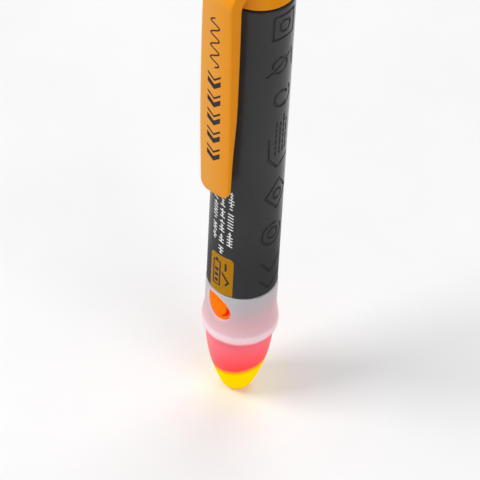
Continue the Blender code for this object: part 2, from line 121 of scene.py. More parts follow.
CLIP_PAD_Z = (77.0 * MM, 84.0 * MM)
CLIP_PAD_REACH = BARREL_RADIUS + 0.3 * MM

# Print: how far it stands out of a surface, and how far it reaches into it
INK_LIFT = 0.012 * MM
INK_DEPTH = 0.02 * MM


# ---------------------------------------------------------------- mesh tools

def link(name, mesh, material):
    """Makes an object from a mesh and a material, and puts it in the scene."""
    thing = bpy.data.objects.new(name, mesh)
    bpy.context.scene.collection.objects.link(thing)
    mesh.materials.append(material)
    return thing


def weld(mesh):
    """Joins doubled points and turns all faces outwards."""
    shape = bmesh.new()
    shape.from_mesh(mesh)
    bmesh.ops.remove_doubles(shape, verts=shape.verts, dist=1e-7)
    bmesh.ops.dissolve_degenerate(shape, edges=shape.edges, dist=1e-8)
    bmesh.ops.recalc_face_normals(shape, faces=shape.faces)
    shape.to_mesh(mesh)
    shape.free()


def smooth(mesh, degrees=35):
    """Shades a mesh smooth, but for edges sharper than an angle."""
    mesh.shade_smooth()
    mesh.set_sharp_from_angle(angle=math.radians(degrees))


def skin(points, wrap_rows=False, wrap_columns=True):
    """Vertices and faces of a grid of points with shape (rows, columns, 3)."""
    rows, columns = points.shape[:2]
    index = np.arange(rows * columns).reshape(rows, columns)
    last_row = rows if wrap_rows else rows - 1
    last_column = columns if wrap_columns else columns - 1
    faces = []
    for i in range(last_row):
        for j in range(last_column):
            k, m = (i + 1) % rows, (j + 1) % columns
            faces.append((index[i, j], index[i, m], index[k, m], index[k, j]))
    return points.reshape(-1, 3), faces


def mesh_of(name, points, faces):
    """A clean mesh from points and faces, which may share doubled points."""
    mesh = bpy.data.meshes.new(name)
    mesh.from_pydata([tuple(p) for p in points], [], [tuple(int(i) for i in f) for f in faces])
    weld(mesh)
    return mesh


def loft(name, rings):
    """A mesh through rings of points, closed by a flat face at each end."""
    points, faces = skin(np.array(rings))
    count = len(rings[0])
    faces += [tuple(range(count)), tuple(range(len(points) - count, len(points)))]
    return mesh_of(name, points, faces)


def lathe(name, profile, angles, material, offset=None, closed=False):
    """Turns (radius, z) points about Z. offset(angle, radius, z) is added to the radius."""
    r = np.array([p[0] for p in profile])[:, None]
    z = np.array([p[1] for p in profile])[:, None]
    a = np.asarray(angles)[None, :]
    radius = r + (offset(a, r, z) if offset else 0) + 0 * a
    grid = np.stack([radius * np.sin(a), -radius * np.cos(a), z + 0 * a], axis=-1)
    mesh = mesh_of(name, *skin(grid, wrap_rows=closed))
    smooth(mesh)
    return link(name, mesh, material)


def full_turn(step_degrees):
    """Angles right round the pen, in radians."""
    return np.radians(np.arange(0, 360, step_degrees))


def arc(centre, radius, start, end, count):
    """Points on an arc. The angles are in radians, anticlockwise from the first axis."""
    steps = [start + (end - start) * i / (count - 1) for i in range(count)]
    return [(centre[0] + radius * math.cos(a), centre[1] + radius * math.sin(a)) for a in steps]


def cut(thing, cutter, operation="DIFFERENCE"):
    """Cuts one piece by another, or joins them, and keeps the result as plain mesh."""
    joined = thing.modifiers.new("cut", "BOOLEAN")
    joined.operation = operation
    joined.solver = "EXACT"
    joined.object = cutter
    bpy.context.view_layer.update()
    seen = thing.evaluated_get(bpy.context.evaluated_depsgraph_get())
    mesh = bpy.data.meshes.new_from_object(seen)
    thing.modifiers.clear()
    thing.data = mesh
    bpy.data.objects.remove(cutter, do_unlink=True)
    return thing


def smoothstep(x):
    """Eases from 0 to 1 as x goes from 0 to 1."""
    x = np.clip(x, 0, 1)
    return x * x * (3 - 2 * x)


def towards(azimuth, elevation):
    """The direction from the pen to a place, in degrees: azimuth 0 is -Y, and 90 is +X."""
    azimuth, elevation = math.radians(azimuth), math.radians(elevation)
    return Vector((math.sin(azimuth) * math.cos(elevation),
                   -math.cos(azimuth) * math.cos(elevation), math.sin(elevation)))


# ---------------------------------------------------------------- material tools

def new_look(name):
    """A material, its node tree and its Principled BSDF."""
    made = bpy.data.materials.new(name)
    made.use_nodes = True
    return made, made.node_tree, made.node_tree.nodes["Principled BSDF"]


def put(tree, kind, inputs=None, **settings):
    """Adds a shader node. An input is a value, or a socket to link it from."""
    made = tree.nodes.new("ShaderNode" + kind)
    for key, value in settings.items():
        setattr(made, key, value)
    for key, value in (inputs or {}).items():
        if isinstance(value, bpy.types.NodeSocket):
            tree.links.new(value, made.inputs[key])
        else:
            made.inputs[key].default_value = value
    return made


def calc(tree, operation, *values):
    """The result of a sum on numbers."""
    return put(tree, "Math", dict(enumerate(values)), operation=operation).outputs[0]


def vector_calc(tree, operation, *values):
    """The vector that a sum on vectors gives."""
    return put(tree, "VectorMath", dict(enumerate(values)), operation=operation).outputs[0]


def measure(tree, operation, *values):
    """The number that a sum on vectors gives: a length or a dot product."""
    return put(tree, "VectorMath", dict(enumerate(values)), operation=operation).outputs[1]


def remap(tree, value, low, high, at_low=0, at_high=1):
    """Maps low..high to at_low..at_high, and holds those values beyond."""
    return put(tree, "MapRange", {"Value": value, "From Min": low, "From Max": high,
                                  "To Min": at_low, "To Max": at_high}).outputs[0]


def ramp(tree, factor, stops):
    """A colour ramp of (place, (r, g, b)) stops."""
    made = put(tree, "ValToRGB", {0: factor})
    bar = made.color_ramp.elements
    while len(bar) > 1:
        bar.remove(bar[-1])
    bar[0].position, bar[0].color = stops[0][0], (*stops[0][1], 1)
    for place, colour in stops[1:]:
        bar.new(place).color = (*colour, 1)
    return made.outputs["Color"]


def place_in(tree):
    """Where a point is in the row frame, in metres."""
    return put(tree, "TexCoord").outputs["Object"]


def height_in(tree):
    """How far a point is up the pen."""
    return put(tree, "SeparateXYZ", {0: place_in(tree)}).outputs[2]


def speckle(tree, size, detail=3.0, rough=0.6, stretch=(1, 1, 1)):
    """Noise between 0 and 1 whose grains are about size across."""
    spread = put(tree, "Mapping", {"Vector": place_in(tree), "Scale": stretch})
    noise = put(tree, "TexNoise", {"Vector": spread.outputs[0], "Scale": 1 / size,
                                   "Detail": detail, "Roughness": rough})
    return noise.outputs[0]


def between(tree, factor, low, high):
    """Maps 0..1 to low..high."""
    return remap(tree, factor, 0, 1, low, high)


def roughen(tree, shader, height, strength):
    """Gives a surface a fine bump from a height between 0 and 1."""
    bump = put(tree, "Bump", {"Height": height, "Strength": strength, "Distance": 0.01 * MM})
    tree.links.new(bump.outputs[0], shader.inputs["Normal"])


def tinted(tree, factor, colour, amount):
    """The colour, darker and lighter by the amount as the factor runs from 0 to 1."""
    dark = tuple(c * (1 - amount) for c in colour)
    light = tuple(min(1, c * (1 + amount)) for c in colour)
    return ramp(tree, factor, ((0.3, dark), (0.7, light)))


def moulded(name, colour, roughness, grain=0.12 * MM, strength=0.2, tint=0.05, gloss=0.5,
            skin_index=1.0):
    """Moulded plastic: a fine grain, flow marks, uneven gloss and perhaps a thin shiny skin."""
    made, tree, shader = new_look(name)
    flow = speckle(tree, 9 * MM, 2, 0.5, (1, 1, 0.35))
    wear = speckle(tree, 1.6 * MM, 6, 0.65)
    tree.links.new(tinted(tree, flow, colour, tint), shader.inputs["Base Color"])
    tree.links.new(between(tree, wear, roughness - 0.07, roughness + 0.09),
                   shader.inputs["Roughness"])
    roughen(tree, shader, speckle(tree, grain, 2, 0.5), strength)
    shader.inputs["Specular IOR Level"].default_value = gloss
    if skin_index > 1:
        shader.inputs["Coat Weight"].default_value = 1
        shader.inputs["Coat IOR"].default_value = skin_index
        shader.inputs["Coat Roughness"].default_value = 0.18
    return made


def grey_look():
    """Dark grey plastic with a shiny skin that dulls towards the collar."""
    made = moulded("dark_grey_plastic", (0.047, 0.0455, 0.0475), 0.32, 0.14 * MM, 0.3, 0.06,
                   gloss=0.05, skin_index=1.17)
    tree = made.node_tree
    shader = tree.nodes["Principled BSDF"]
    dull_below, bright_above = 48 * MM, 85 * MM
    for name in ("Specular IOR Level", "Coat Weight"):
        most = shader.inputs[name].default_value
        gloss = remap(tree, height_in(tree), dull_below, bright_above, 0.1 * most, most)
        tree.links.new(gloss, shader.inputs[name])
    return made


def yellow_look():
    """Yellow plastic with a painted highlight: paler where it faces forwards, most of all on the
    left, as if lit by the key light.
    """
    made = moulded("yellow_plastic", (0.82, 0.30, 0.005), 0.38, 0.10 * MM, 0.15, 0.03, gloss=0.05)
    tree = made.node_tree
    # Painted highlight: the front faces, most of all on the left, are painted paler.
    facing = measure(tree, "DOT_PRODUCT", put(tree, "TexCoord").outputs["Normal"], (0, -1, 0))
    across = put(tree, "SeparateXYZ", {0: place_in(tree)}).outputs[0]
    front = remap(tree, facing, 0.4, 0.98)
    left = remap(tree, across, -4.4 * MM, 3.6 * MM, 1, 0.3)
    cloud = between(tree, speckle(tree, 9 * MM, 2, 0.5, (1, 1, 0.35)), -0.05, 0.05)
    painted_highlight = calc(tree, "ADD", calc(tree, "MULTIPLY", front, left), cloud)
    colour = ramp(tree, painted_highlight, ((0.0, (0.82, 0.275, 0.0)), (0.3, (0.82, 0.30, 0.018)),
                               (1.0, (0.82, 0.37, 0.07))))
    tree.links.new(colour, tree.nodes["Principled BSDF"].inputs["Base Color"])
    return made


def ink(name, colour, gloss=0.2):
    """Pad-printed ink: slightly patchy, with uneven gloss."""
    made, tree, shader = new_look(name)
    patch = speckle(tree, 0.7 * MM, 5, 0.7)
    tree.links.new(tinted(tree, patch, colour, 0.10), shader.inputs["Base Color"])
    tree.links.new(between(tree, speckle(tree, 0.3 * MM), 0.42, 0.62),
                   shader.inputs["Roughness"])
    shader.inputs["Specular IOR Level"].default_value = gloss
    return made


def metal(name, colour, roughness, grain=(1, 1, 0.06)):
    """Drawn or rolled metal with a brushed grain and faint tarnish."""
    made, tree, shader = new_look(name)
    brushed = speckle(tree, 0.25 * MM, 4, 0.6, grain)
    tarnish = speckle(tree, 3 * MM, 4, 0.6)
    tree.links.new(tinted(tree, tarnish, colour, 0.10), shader.inputs["Base Color"])
    tree.links.new(between(tree, brushed, roughness - 0.08, roughness + 0.12),
                   shader.inputs["Roughness"])
    shader.inputs["Metallic"].default_value = 1
    roughen(tree, shader, brushed, 0.15)
    return made


def milky_look():
    """Milky plastic with a painted glow for the light from inside: yellow at the tip, red in the
    cone, fading in the collar.

    The colours follow the height, which leans towards the left and front, where the colours come
    out paler as a painted highlight, except where it crosses the bead. The base colour also holds a
    painted highlight on the bead's crest and painted shade just under it.
    """
    made, tree, shader = new_look("milky_plastic")
    height = height_in(tree)
    # Painted highlight: the height leans towards the left and front, so that side takes paler,
    # pinker colours; the lean fades out near the bead.
    lean = measure(tree, "DOT_PRODUCT", place_in(tree), (-0.14, -0.18, 0))
    from_bead = calc(tree, "ABSOLUTE", calc(tree, "SUBTRACT", height, BEAD_Z))
    leaning = remap(tree, from_bead, 1.5 * MM, 6 * MM)
    cloud = between(tree, speckle(tree, 5 * MM, 2, 0.5), -0.5 * MM, 0.5 * MM)
    level = calc(tree, "ADD", height, calc(tree, "MULTIPLY_ADD", lean, leaning, cloud))
    share = remap(tree, level, 0, 40 * MM)
    # Base colour: a painted glow tint, yellow at the tip and red in the cone, a painted highlight
    # on the bead's crest (0.589 to 0.621) and painted shade just under the crest (0.566).
    body = ramp(tree, share, (
        (0.0, (0.50, 0.26, 0.0)), (0.06, (0.52, 0.36, 0.0)), (0.23, (0.55, 0.38, 0.0)),
        (0.265, (0.55, 0.22, 0.0)), (0.295, (0.50, 0.035, 0.035)), (0.40, (0.52, 0.06, 0.09)),
        (0.53, (0.57, 0.12, 0.16)), (0.566, (0.60, 0.18, 0.24)), (0.589, (0.80, 0.68, 0.72)),
        (0.621, (0.82, 0.72, 0.76)), (0.648, (0.71, 0.51, 0.55)), (0.72, (0.66, 0.45, 0.48)),
        (0.80, (0.57, 0.46, 0.49)), (0.93, (0.51, 0.495, 0.51))))
    # Emission: a painted glow in place of the light from inside.
    painted_glow = ramp(tree, share, (
        (0.0, (0.62, 0.22, 0.0)), (0.07, (0.62, 0.37, 0.0)), (0.23, (0.62, 0.38, 0.0)),
        (0.265, (0.62, 0.20, 0.0)), (0.295, (0.62, 0.016, 0.018)), (0.45, (0.52, 0.02, 0.028)),
        (0.54, (0.34, 0.018, 0.026)), (0.62, (0.125, 0.008, 0.01)), (0.75, (0.08, 0.0, 0.0)),
        (0.93, (0.0, 0.0, 0.0))))
    # A painted glow round the edge of the button hole.
    around = put(tree, "Mapping", {
        "Vector": place_in(tree), "Rotation": (0, -DROP_LEAN, 0),
        "Location": (DROP_CENTRE[0] - 0.3 * MM, -COLLAR_RADIUS, DROP_CENTRE[1] - 0.3 * MM),
        "Scale": (DROP_HALF_LENGTH, 4 * MM, DROP_HALF_WIDTH)}, vector_type="TEXTURE").outputs[0]
    painted_halo = remap(tree, measure(tree, "LENGTH", around), 0.95, 1.3, 1, 0)
    painted_glow = vector_calc(tree, "MULTIPLY_ADD", painted_halo, (0.20, 0.05, 0.03), painted_glow)
    tree.links.new(body, shader.inputs["Base Color"])
    tree.links.new(painted_glow, shader.inputs["Emission Color"])
    tree.links.new(remap(tree, share, 0.25, 0.5, 0, 0.5), shader.inputs["Specular IOR Level"])
    tree.links.new(between(tree, speckle(tree, 1.2 * MM, 5), 0.28, 0.42),
                   shader.inputs["Roughness"])
    shader.inputs["Emission Strength"].default_value = 1.0
    shader.inputs["Subsurface Weight"].default_value = 0.25
    shader.inputs["Subsurface Radius"].default_value = (2.0 * MM, 1.0 * MM, 1.0 * MM)
    shader.inputs["Subsurface Scale"].default_value = 1.0
    roughen(tree, shader, speckle(tree, 0.15 * MM, 2), 0.15)
    return made


def button_look():
    """Orange plastic with a little painted glow, and a painted red arc of glow and shade at its
    lower right edge.
    """
    made, tree, shader = new_look("orange_plastic")
    middle, radius, direction = (0.55 * MM, 33.4 * MM), 2.15 * MM, (0.93, 0, -0.37)
    flat = vector_calc(tree, "MULTIPLY_ADD", place_in(tree), (1, 0, 1),
                       (-middle[0], 0, -middle[1]))
    off = calc(tree, "SUBTRACT", measure(tree, "LENGTH", flat), radius)
    turn = measure(tree, "DOT_PRODUCT", vector_calc(tree, "NORMALIZE", flat), direction)
    near = remap(tree, calc(tree, "ABSOLUTE", off), 0.1 * MM, 0.65 * MM, 1, 0)
    side = remap(tree, turn, 0.55, 0.95)
    cloud = between(tree, speckle(tree, 1.5 * MM, 3), -0.06, 0.06)
    # Painted glow and shade: a red arc near the outline at the lower right.
    painted_red_arc = calc(tree, "ADD", calc(tree, "MULTIPLY", near, side), cloud)
    tree.links.new(ramp(tree, painted_red_arc, ((0.0, (0.90, 0.165, 0.0)), (0.45, (0.88, 0.06, 0.0)),
                                    (1.0, (0.80, 0.008, 0.0)))), shader.inputs["Base Color"])
    tree.links.new(ramp(tree, painted_red_arc, ((0.0, (0.16, 0.035, 0.0)), (0.5, (0.14, 0.0, 0.0)))),
                   shader.inputs["Emission Color"])
    tree.links.new(between(tree, speckle(tree, 0.6 * MM, 5), 0.30, 0.45),
                   shader.inputs["Roughness"])
    shader.inputs["Emission Strength"].default_value = 1.0
    shader.inputs["Specular IOR Level"].default_value = 0.02
    roughen(tree, shader, speckle(tree, 0.12 * MM, 2), 0.12)
    return made


# ---------------------------------------------------------------- nose

def tip_and_cone():
    """(radius, z) from the flat at the tip up the rounded tip and the arched cone."""
    points = []
    r, z = TIP_FLAT, 0.0
    turns = ((TIP_ROUND, math.pi / 2, TIP_ANGLE, 12), (CONE_ARC, TIP_ANGLE, NECK_ANGLE, 24))
    for radius, start, end, count in turns:
        for i in range(count):
            angle = start + (end - start) * i / (count - 1)
            points.append((r + radius * (math.cos(angle) - math.cos(start)),
                           z + radius * (math.sin(start) - math.sin(angle))))
        r, z = points.pop()
    return points + [(r, z)]


def bead_and_collar():
    """(radius, z) of the guard bead, with a low rim at its crest, and of the collar."""
    neck = tip_and_cone()[-1][0]
    under = [(neck + (BEAD_RADIUS - neck) * math.sin(a), BEAD_Z - BEAD_BELOW * math.cos(a))
             for a in (math.pi / 2 * i / 14 for i in range(15))]
    fade = []
    for i in range(1, 33):
        up = BEAD_ABOVE * i / 32
        slope = (1 + math.cos(math.pi * up / BEAD_ABOVE)) / 2
        rim = (1 + math.cos(math.pi * min(up / RIM_ABOVE, 1))) / 2
        fade.append((COLLAR_RADIUS + (BEAD_RADIUS - RIM - COLLAR_RADIUS) * slope + RIM * rim,
                     BEAD_Z + up))
    plain = [(COLLAR_RADIUS, z)
             for z in np.linspace(BEAD_Z + BEAD_ABOVE, COLLAR_TOP - EDGE, 16)[1:]]
    shoulder = arc((COLLAR_RADIUS - EDGE, COLLAR_TOP - EDGE), EDGE, 0, math.pi / 2, 5)
    return under + fade + plain + shoulder[1:]


def drop_outline(grow=0.0):
    """The button's outline in XZ: an ellipse whose sides draw in towards its point."""
    points, count = [], 96
    for i in range(count):
        turn = 2 * math.pi * (i + 0.5) / count
        along = (DROP_HALF_LENGTH + grow) * math.cos(turn)
        across = (DROP_HALF_WIDTH + grow) * math.sin(turn) * math.sin(turn / 2) ** DROP_POINT
        points.append((DROP_CENTRE[0] + along * math.cos(DROP_LEAN) - across * math.sin(DROP_LEAN),
                       DROP_CENTRE[1] + along * math.sin(DROP_LEAN) + across * math.cos(DROP_LEAN)))
    return points


def make_nose(material):
    """One hollow moulding, with a hole for the button that flares a little at its mouth."""
    cone = tip_and_cone()
    spigot = BARREL_BORE - SEAM
    outer = [(0, 0)] + cone + bead_and_collar() + [(spigot, COLLAR_TOP), (spigot, SPIGOT_TOP)]
    inner = [(0, NOSE_WALL)] + [(r - NOSE_WALL, z) for r, z in cone if z > 1.5 * NOSE_WALL]
    roof = COLLAR_TOP - COLLAR_ROOF
    inner += [(COLLAR_BORE, BEAD_Z), (COLLAR_BORE, roof), (SPIGOT_BORE, roof),
              (SPIGOT_BORE, SPIGOT_TOP)]
    nose = lathe("nose", outer + inner[::-1], full_turn(2), material)
    # (a ring's distance from the axis, its growth past the gap) in mm; the three rings at the
    # mouth follow the collar's curve
    flare = [(12.0, 3.3), (9.13, 0.43), (8.93, 0.22), (8.75, 0.07), (8.6, 0.0), (4.5, 0.0)]
    rings = [[(x, -reach * MM, z) for x, z in drop_outline(DROP_GAP + wider * MM)]
             for reach, wider in flare]
    for ring in rings[1:4]:
        ring[:] = [(x, -math.sqrt(y * y - x * x), z) for x, y, z in ring]
    cut(nose, link("button_hole", loft("button_hole", rings), material))
    smooth(nose.data, 40)
    return nose


def make_button(material):
    """A drop with a low lip and a raised pad, bent to the collar's curve."""
    outline = np.array(drop_outline())
    middle = np.array(DROP_CENTRE)
    pad_shift = np.array((-0.16 * MM, 0.20 * MM))
    lip_share = 0.17
    rings = [[(x, y, z) for x, z in outline] for y in (-5.3 * MM, -6.1 * MM)]
    # (a ring's share of the way in to the middle, its rise above the collar in mm)
    rises = [(0.0, -0.45), (0.0, -0.16), (0.025, -0.08), (0.07, -0.05), (0.13, -0.06),
             (0.155, -0.12), (lip_share, -0.12), (0.20, 0.02), (0.235, 0.09), (0.29, 0.13),
             (0.40, 0.155), (0.60, 0.175), (0.80, 0.19), (0.96, 0.195)]
    for inwards, rise in rises:
        spot = middle + (outline - middle) * (1 - inwards)
        spot = spot + pad_shift * min(1, inwards / lip_share)
        radius = COLLAR_RADIUS + rise * MM
        rings.append([(x, -math.sqrt(radius ** 2 - x * x), z) for x, z in spot])
    mesh = loft("button", rings)
    smooth(mesh, 60)
    return link("button", mesh, material)


# ---------------------------------------------------------------- marks moulded into the barrel

def segment(s, z, start, end):
    """Distance from points to a straight stroke."""
    (ax, ay), (bx, by) = start, end
    dx, dy = bx - ax, by - ay
    t = np.clip(((s - ax) * dx + (z - ay) * dy) / (dx * dx + dy * dy), 0, 1)
    return np.hypot(s - ax - t * dx, z - ay - t * dy)


def strokes(s, z, points, closed=False):
    """Distance from points to a line of straight strokes."""
    pairs = list(zip(points, points[1:] + points[:1])) if closed else zip(points, points[1:])
    return np.minimum.reduce([segment(s, z, a, b) for a, b in pairs])


def square(middle, half):
    """The corners of an upright square."""
    x, y = middle
    return [(x - half, y - half), (x + half, y - half), (x + half, y + half), (x - half, y + half)]


def mark_distance(s, z):
    """Distance in mm from a point on the barrel to the nearest moulded stroke.

    s runs round the barrel from -Y, and z up the pen. The marks are plain rings and angles.
    """
    found = [
        strokes(s, z, square((13.2, 122.7), 3.3), True),
        np.abs(np.hypot(s - 13.2, z - 122.8) - 1.6),
        np.abs(np.hypot(s - 12.4, z - 111.4) - 2.2),
        strokes(s, z, [(8.9, 108.8), (15.3, 113.6)]),
        strokes(s, z, [(17.2, 109.0), (16.5, 114.1)]),
        strokes(s, z, arc((13.4, 101.0), 2.2, 0.5, 5.3, 14)),
        strokes(s, z, arc((13.9, 101.4), 3.0, -1.7, 0.7, 10)),
        strokes(s, z, [(10.4, 89.2), (10.5, 83.2), (13.2, 79.8), (17.4, 81.6)]),
        strokes(s, z, [(10.3, 70.8), (14.2, 66.0), (17.8, 70.8), (14.2, 75.6)], True),
        np.abs(np.hypot(s - 14.1, z - 70.8) - 1.4),
        strokes(s, z, arc((13.3, 58.2), 3.3, 1.3, 6.8, 22)),
        strokes(s, z, arc((13.4, 58.4), 1.6, 3.4, 9.0, 14)),
        strokes(s, z, [(10.5, 49.0), (13.1, 45.6), (16.6, 49.0)]),
        strokes(s, z, [(10.3, 43.4), (13.0, 40.2), (17.0, 43.3)]),
    ]
    dashes = random.Random(4)
    for row in (12.4, 13.7, 15.0, 16.2):
        at = 84.0
        while at < 94.0:
            long = dashes.uniform(0.5, 2.2)
            found.append(segment(s, z, (row, at), (row, min(at + long, 95.0))))
            at += long + 0.9
    return np.minimum.reduce(found)


def barrel_relief(angle, radius, z):
    """Sunk marks, and the fine parting lines that run down both sides."""
    mark_depth, mark_half, mark_slope = 0.36 * MM, 0.33, 0.15
    line_depth, line_degrees = 0.05 * MM, 0.9
    s, height = angle * BARREL_RADIUS / MM, z / MM
    outside = radius > BARREL_RADIUS - SEAM
    depth = mark_depth * smoothstep((mark_half - mark_distance(s, height)) / mark_slope)
    depth = np.where(outside & (z > BARREL_BOTTOM + MM) & (z < BARREL_TOP - MM), depth, 0)
    for at in PARTING_ANGLES:
        apart = np.abs(np.degrees(angle) - at)
        depth = depth + np.where(outside, line_depth * smoothstep(1 - apart / line_degrees), 0)
    return -depth


def make_barrel(material):
    """A tube whose rows are close together all along, and whose columns are close together only
    where it is marked or has a parting line.
    """
    low, high = BARREL_BOTTOM, BARREL_TOP
    bottom = arc((BARREL_RADIUS - EDGE, low + EDGE), EDGE, -math.pi / 2, 0, 5)
    top = arc((BARREL_RADIUS - EDGE, high - EDGE), EDGE, 0, math.pi / 2, 5)
    heights = np.arange(low + 0.5 * MM, high - 0.4 * MM, 0.16 * MM)
    profile = [(BARREL_BORE, low)] + bottom + [(BARREL_RADIUS, z) for z in heights] + top
    profile += [(BARREL_BORE, high)]
    first, last = MARKED_ANGLES
    fine = np.radians(np.arange(first, last, 0.85))
    lines = [np.radians(at + np.arange(-1.2, 1.3, 0.3)) for at in PARTING_ANGLES]
    coarse = [a for a in full_turn(3) if not (math.radians(first - 1) < a < math.radians(last + 1))
              and all(abs(a - line.mean()) > math.radians(1.6) for line in lines)]
    angles = np.sort(np.concatenate([fine, coarse, *lines]))
    return lathe("barrel_tube", profile, angles, material, offset=barrel_relief, closed=True)


# ---------------------------------------------------------------- printed marks

def on_barrel(s, z, lift):
    """A point on the barrel's outside, which rounds in at its lower edge."""
    fall = max(EDGE - (z - BARREL_BOTTOM), 0)
    inwards = EDGE - math.sqrt(max(EDGE ** 2 - fall ** 2, 0))
    angle, radius = s / BARREL_RADIUS, BARREL_RADIUS - inwards + lift
    return (radius * math.sin(angle), -radius * math.cos(angle), z)


def clip_reach(z):
    """How far the clip's outer face stands from the axis: it bows in towards its end."""
    below = (CLIP_BEND_Z - z) / MM
    return CLIP_REACH - (0.0245 * below + 0.00017 * below * below) * MM


def clip_inner(z):
    """How far the clip's inner face stands from the axis."""
    low = smoothstep((CLIP_THIN_Z[1] - z) / (CLIP_THIN_Z[1] - CLIP_THIN_Z[0]))
    return CLIP_INNER_REACH + (CLIP_END_INNER - CLIP_INNER_REACH) * float(low)


def clip_half_width(z):
    """Half of the clip's width: it swells a little at its waist."""
    if z > CLIP_WAIST_Z:
        away, half = (z - CLIP_WAIST_Z) / (CLIP_BEND_Z - CLIP_WAIST_Z), CLIP_ROOT_HALF
    else:
        away, half = (CLIP_WAIST_Z - z) / (CLIP_WAIST_Z - CLIP_END_Z), CLIP_END_HALF
    return CLIP_WAIST_HALF - (CLIP_WAIST_HALF - half) * min(away * away, 1)


def on_clip(x, z, lift):
    """A point on the clip's outer face."""
    return (x, -(clip_reach(z) + lift), z)


def ribbon(path, widths, surface, lift=INK_LIFT, across=6):
    """Vertices and faces of a thin printed strip laid on a surface along a path."""
    path = np.array(path, float)
    ahead = np.gradient(path, axis=0)
    ahead /= np.linalg.norm(ahead, axis=1)[:, None]
    side = np.stack([ahead[:, 1], -ahead[:, 0]], axis=1)
    widths = np.broadcast_to(widths, len(path))
    top, bottom = ([[surface(a, b, height) for a, b in path + side * (widths * share)[:, None]]
                    for share in np.linspace(-0.5, 0.5, across)] for height in (lift, -INK_DEPTH))
    loop = np.array(top + bottom[::-1])
    points, faces = skin(loop, wrap_rows=True, wrap_columns=False)
    count, length = loop.shape[:2]
    for end in (0, length - 1):
        for i in range(across - 1):
            j = count - 1 - i
            faces.append((i * length + end, (i + 1) * length + end,
                          (j - 1) * length + end, j * length + end))
    return points, faces


def printed(name, ribbons, material):
    """One object from many printed strips."""
    points, faces = [], []
    for strip_points, strip_faces in ribbons:
        start = len(points)
        points.extend(strip_points)
        faces.extend(tuple(i + start for i in face) for face in strip_faces)
    return link(name, mesh_of(name, points, faces), material)


def rounded_bar(start, end, width, corner, surface):
    """A straight strip with round corners."""
    start, end = np.array(start), np.array(end)
    length = np.linalg.norm(end - start)
    bends = [corner * (1 - math.cos(a)) for a in np.linspace(0, math.pi / 2, 7)]
    stations = sorted(set(bends + [length / 2] + [length - b for b in bends]))
    stations += list(np.arange(corner, length - corner, 1.5 * MM))
    stations = np.array(sorted(stations))
    near_end = np.minimum(stations, length - stations)
    lost = corner - np.sqrt(np.maximum(corner ** 2 - np.maximum(corner - near_end, 0) ** 2, 0))
    widths = np.maximum(width - 2 * lost, 0.02 * MM)
    path = start + (end - start) * (stations / length)[:, None]
    return ribbon(path, widths, surface)


def make_white_print(material):
    """Three rows of slanted ticks, like a scale, between the clip's end and the label."""
    chance = random.Random(11)
    high, wide, corner = 0.76 * MM, 0.33 * MM, 0.1 * MM
    ticks = []
    for s, low, top in ((-2.55, 55.6, 74.0), (-0.2, 51.9, 74.0), (2.15, 55.2, 69.2)):
        at = low
        while at < top:
            for _ in range(chance.randint(3, 6)):
                up = high * chance.choice((1, 1, 1, 0.55))
                lean = 0.30 * up
                ticks.append(rounded_bar((s * MM + up, at * MM - lean),
                                         (s * MM - up, at * MM + lean), wide, corner, on_barrel))
                if chance.random() < 0.5:
                    ticks.append(rounded_bar((s * MM, at * MM), (s * MM, (at + 0.7) * MM), wide,
                                             corner, on_barrel))
                at += 0.95
            at += 0.8
    return printed("white_print", ticks, material)


def make_label(material):
    """A patch of ink with two round corners, which follows the barrel over its lower edge."""
    low, high, half, corner = BARREL_BOTTOM + 0.12 * MM, 50.9 * MM, 3.52 * MM, 1.3 * MM
    rise = np.concatenate([np.linspace(low, low + 0.3 * MM, 4)[:-1],
                           np.arange(low + 0.3 * MM, high - corner, 1.0 * MM),
                           high - corner + corner * np.sin(np.linspace(0, math.pi / 2, 9))])
    lost = corner - np.sqrt(np.maximum(corner ** 2 - np.maximum(rise - high + corner, 0) ** 2, 0))
    path = [(0, z) for z in rise]
    return printed("label", [ribbon(path, 2 * (half - lost), on_barrel, 0.01 * MM, 14)], material)


def make_label_print(material):
    """A battery outline with charge bars, and a tick beside it."""
    lift = 0.02 * MM

    def line(wide, *points):
        path = [(s * MM, z * MM) for s, z in points]
        dense = [tuple(np.array(a) + (np.array(b) - np.array(a)) * t)
                 for a, b in zip(path, path[1:]) for t in np.linspace(0, 1, 5)[:-1]] + [path[-1]]
        return ribbon(dense, wide * MM, on_barrel, lift)

    left, right, low, high = -2.35, -0.15, 40.9, 48.6
    shapes = [line(0.4, (left, low), (left, high)), line(0.4, (right, low), (right, high)),
              line(0.4, (left - 0.2, low), (right + 0.2, low)),
              line(0.4, (left - 0.2, high), (right + 0.2, high)),
              line(0.9, (-1.25, 48.6), (-1.25, 49.5))]
    shapes += [line(1.0, (left + 0.5, z), (right - 0.5, z)) for z in (42.2, 44.0, 45.8)]
    shapes += [line(0.55, (1.5, 41.6), (2.3, 42.8)), line(0.55, (2.5, 42.6), (0.4, 45.6))]
    shapes += [line(0.55, (1.45, 46.4), (1.45, 48.9))]
    return printed("label_print", shapes, material)


def arrowhead(middle, tip, reach, fall, thick, surface, lift):
    """Vertices and faces of a printed V, as one mitred strip."""
    across = np.linspace(-1, 1, 13)
    rows = [[surface(middle + reach * t, tip + fall * abs(t) + up, height) for t in across]
            for up, height in ((0, -INK_DEPTH), (0, lift), (thick / 2, lift), (thick, lift),
                               (thick, -INK_DEPTH))]
    return skin(np.array(rows), wrap_columns=False)


